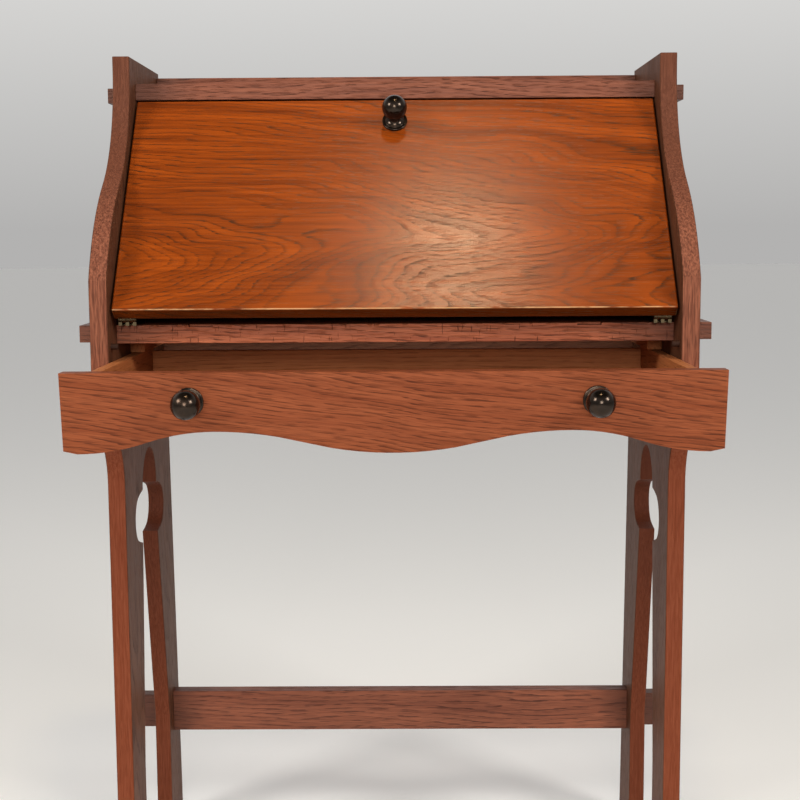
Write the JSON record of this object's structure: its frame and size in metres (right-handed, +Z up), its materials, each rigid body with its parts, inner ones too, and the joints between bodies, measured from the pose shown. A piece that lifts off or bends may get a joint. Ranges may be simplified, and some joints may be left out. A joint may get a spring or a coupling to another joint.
{
  "type": "drop-front writing desk",
  "caption": "Drop-front writing desk with slab sides, a slanted lid that folds down to write on, and a long drawer with a waved front.",
  "frame": {"origin": "on the floor, on the centre plane between the slab sides, halfway between the front of the knobs on the drawer as it stands pulled out and the heels of the rear feet", "axes": "+X to the right seen from the front, +Y to the back, +Z up"},
  "size_m": [0.726, 0.6048, 1.055],
  "materials": {
    "lid_oak": "semi-gloss orange-brown stained oak",
    "case_oak": "satin red-brown stained oak",
    "drawer_front_oak": "satin brown stained oak",
    "rack_oak": "satin brown stained oak",
    "panel_oak": "matt brown oak",
    "inner_wood": "raw to lightly stained wood",
    "knob_bronze": "glossy dark bronze",
    "hinge_brass": "dull aged brass",
    "fastener_steel": "dull steel"
  },
  "bodies": {
    "case": {"back_panel": "panel_oak", "bay_back_rail": "inner_wood", "drawer_kicker_left": "inner_wood", "drawer_kicker_right": "inner_wood", "drawer_runner_left": "inner_wood", "drawer_runner_right": "inner_wood", "gallery_rail": "case_oak", "hinge_bed_screws": "fastener_steel", "hinge_left_bed_leaf": "hinge_brass", "hinge_left_pin": "hinge_brass", "hinge_right_bed_leaf": "hinge_brass", "hinge_right_pin": "hinge_brass", "lid_stop_peg_left": "case_oak", "lid_stop_peg_right": "case_oak", "lid_stop_rail": "case_oak", "rack_centre_shelf": "rack_oak", "rack_divider_inner_left": "rack_oak", "rack_divider_inner_right": "rack_oak", "rack_divider_outer_left": "rack_oak", "rack_divider_outer_right": "rack_oak", "rack_shelf": "rack_oak", "rear_stretcher": "case_oak", "side_slab_left": "case_oak", "side_slab_right": "case_oak", "top_board": "case_oak", "writing_bed": "case_oak"},
    "lid": {"hinge_left_lid_leaf": "hinge_brass", "hinge_lid_screws": "fastener_steel", "hinge_right_lid_leaf": "hinge_brass", "lid_board": "lid_oak", "lid_knob": "knob_bronze", "lid_knob_bolt": "fastener_steel"},
    "drawer": {"drawer_back": "inner_wood", "drawer_bottom": "inner_wood", "drawer_front": "drawer_front_oak", "drawer_knob_bolts": "fastener_steel", "drawer_knob_left": "knob_bronze", "drawer_knob_right": "knob_bronze", "drawer_side_left": "inner_wood", "drawer_side_right": "inner_wood"},
    "little_drawer": {"box_drawer_back": "inner_wood", "box_drawer_bottom": "inner_wood", "box_drawer_front": "rack_oak", "box_drawer_knob": "hinge_brass", "box_drawer_side_left": "inner_wood", "box_drawer_side_right": "inner_wood"}
  },
  "joints": [
    {"name": "lid_hinge", "type": "hinge", "parent": "case", "child": "lid", "pos_m": [0, -0.08261, 0.748], "axis": [1, 0, 0], "range_deg": [0, 127.8]},
    {"name": "drawer_slide", "type": "slide", "parent": "case", "child": "drawer", "axis": [0, -1, 0], "range_m": [-0.127, 0.063]},
    {"name": "little_drawer_slide", "type": "slide", "parent": "case", "child": "little_drawer", "axis": [0, -1, 0], "range_m": [0, 0.09]}
  ]
}
